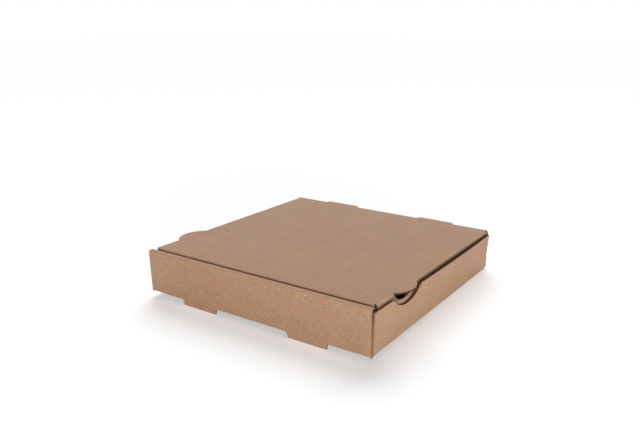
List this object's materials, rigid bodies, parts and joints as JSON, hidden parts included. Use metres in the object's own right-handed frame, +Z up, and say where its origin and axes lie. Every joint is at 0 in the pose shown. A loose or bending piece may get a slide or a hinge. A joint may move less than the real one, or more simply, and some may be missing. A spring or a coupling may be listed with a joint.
{
  "type": "pizza box",
  "caption": "Square corrugated pizza box in plain brown kraft board, with a hinged lid, a roll-over front wall on two slot-flap feet, and half-moon thumb tabs at the sides.",
  "frame": {"origin": "middle of the closed box in plan, at the level of the front feet's tips", "axes": "+X to the right and +Y to the back as seen from the front, roll-over wall (-Y); +Z up"},
  "size_m": [0.2758, 0.2688, 0.0501],
  "materials": {
    "kraft_board": "uncoated brown kraft liner on fine-flute corrugated board, with fibre flecks"
  },
  "bodies": {
    "tray": {"tray": "kraft_board"},
    "lid": {"lid": "kraft_board"}
  },
  "joints": [
    {"name": "lid_hinge", "type": "hinge", "parent": "tray", "child": "lid", "pos_m": [0, 0.1288, 0.0493], "axis": [-1, 0, 0], "range_deg": [0, 180]}
  ]
}
